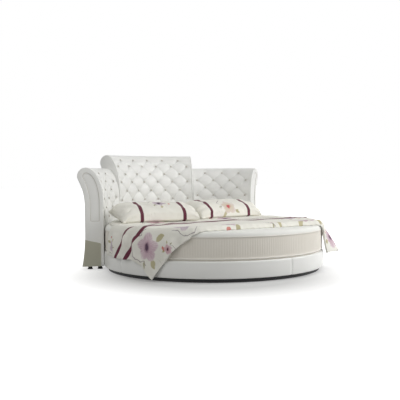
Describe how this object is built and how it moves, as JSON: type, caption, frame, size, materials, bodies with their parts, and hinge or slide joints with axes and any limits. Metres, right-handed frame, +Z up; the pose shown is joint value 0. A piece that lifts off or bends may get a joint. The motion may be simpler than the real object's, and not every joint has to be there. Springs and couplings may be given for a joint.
{
  "type": "round bed",
  "caption": "Round bed with an upholstered ring base, a curved deep-buttoned headboard with rolled top and two lower wings, a round mattress, a printed quilt and pillows.",
  "frame": {"origin": "on the floor under the centre of the ring, at the foot of the middle leg", "axes": "+Y towards the headboard, +X to the right of someone who stands at the foot, +Z up"},
  "size_m": [2.4236, 2.46, 1.155],
  "materials": {
    "ivory_leather": "smooth pale leather, soft sheen",
    "taupe_leather": "smooth taupe leather",
    "timber": "planed softwood and plywood, oiled",
    "beech": "bent beech laminate, clear lacquer",
    "black_timber": "black painted timber, matt",
    "steel": "zinc plated",
    "black_plastic": "moulded, matt black",
    "mattress_ticking": "fine quilted knit",
    "mattress_filling": "foam and pocketed springs",
    "printed_cotton": "printed cotton sateen, burgundy stripes and flowers"
  },
  "bodies": {
    "root": {"beam_hangers": "steel", "beam_legs": "timber", "centre_back_cover": "ivory_leather", "centre_beam": "timber", "centre_buttons": "ivory_leather", "centre_carcass": "timber", "centre_left_cheek": "ivory_leather", "centre_leg": "timber", "centre_right_cheek": "ivory_leather", "centre_tufted_pad": "ivory_leather", "headboard_glides": "black_plastic", "headboard_straps": "steel", "left_beam": "timber", "left_pillow": "printed_cotton", "left_wing_back_cover": "ivory_leather", "left_wing_buttons": "ivory_leather", "left_wing_carcass": "timber", "left_wing_end_border": "ivory_leather", "left_wing_end_panel": "ivory_leather", "left_wing_foot_panel": "taupe_leather", "left_wing_tufted_pad": "ivory_leather", "mattress_core": "mattress_filling", "mattress_cover": "mattress_ticking", "plinth": "black_timber", "quilt": "printed_cotton", "rail_core_back_left": "timber", "rail_core_back_right": "timber", "rail_core_front_left": "timber", "rail_core_front_right": "timber", "rail_cover_back_left": "ivory_leather", "rail_cover_back_right": "ivory_leather", "rail_cover_front_left": "ivory_leather", "rail_cover_front_right": "ivory_leather", "rail_joint_bolts": "steel", "rail_joint_plates": "steel", "right_beam": "timber", "right_pillow": "printed_cotton", "right_wing_back_cover": "ivory_leather", "right_wing_buttons": "ivory_leather", "right_wing_carcass": "timber", "right_wing_end_border": "ivory_leather", "right_wing_end_panel": "ivory_leather", "right_wing_foot_panel": "taupe_leather", "right_wing_tufted_pad": "ivory_leather", "seam_plates": "steel", "section_dowels": "timber", "slat_01": "beech", "slat_02": "beech", "slat_03": "beech", "slat_04": "beech", "slat_05": "beech", "slat_06": "beech", "slat_07": "beech", "slat_08": "beech", "slat_09": "beech", "slat_10": "beech", "slat_11": "beech", "slat_ledge": "timber", "strap_screws": "steel"}
  },
  "joints": []
}
